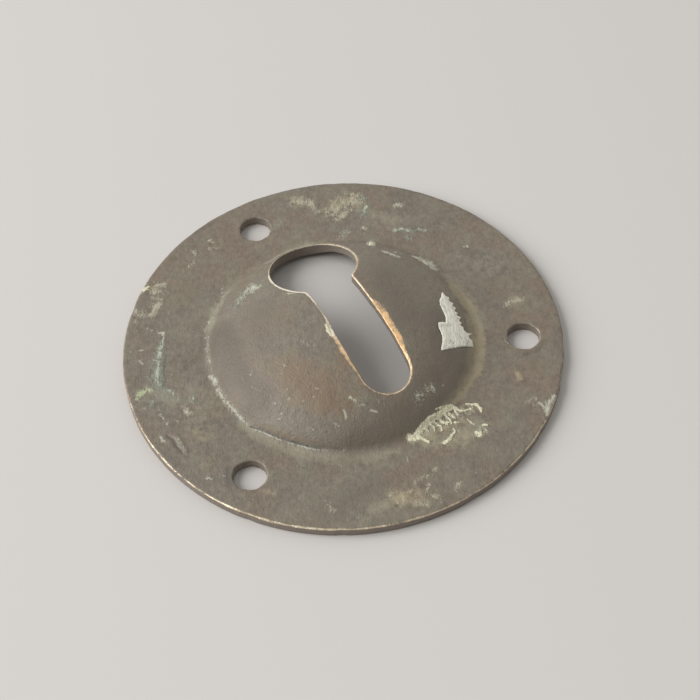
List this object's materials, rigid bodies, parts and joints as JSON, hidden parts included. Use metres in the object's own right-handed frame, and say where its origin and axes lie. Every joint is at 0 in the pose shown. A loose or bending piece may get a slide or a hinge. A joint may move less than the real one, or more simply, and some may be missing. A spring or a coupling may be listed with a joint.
{
  "type": "keyhole escutcheon",
  "caption": "Round pressed brass keyhole plate: flat flange with screw holes, hollow domed middle and a straight keyhole with a round end; old dark patina.",
  "frame": {"origin": "middle of the plate on its back face, which lies on the door or drawer front", "axes": "+Z out of the domed front face, +Y along the keyhole towards its round end, +X to the right seen from the front"},
  "size_m": [0.05, 0.05, 0.0063],
  "materials": {
    "patinated_brass": "aged dark brown-grey patina, half matt",
    "paper_scrap": "torn scrap of blank paper stuck to the dome"
  },
  "bodies": {
    "root": {"escutcheon_plate": "patinated_brass"}
  },
  "joints": []
}
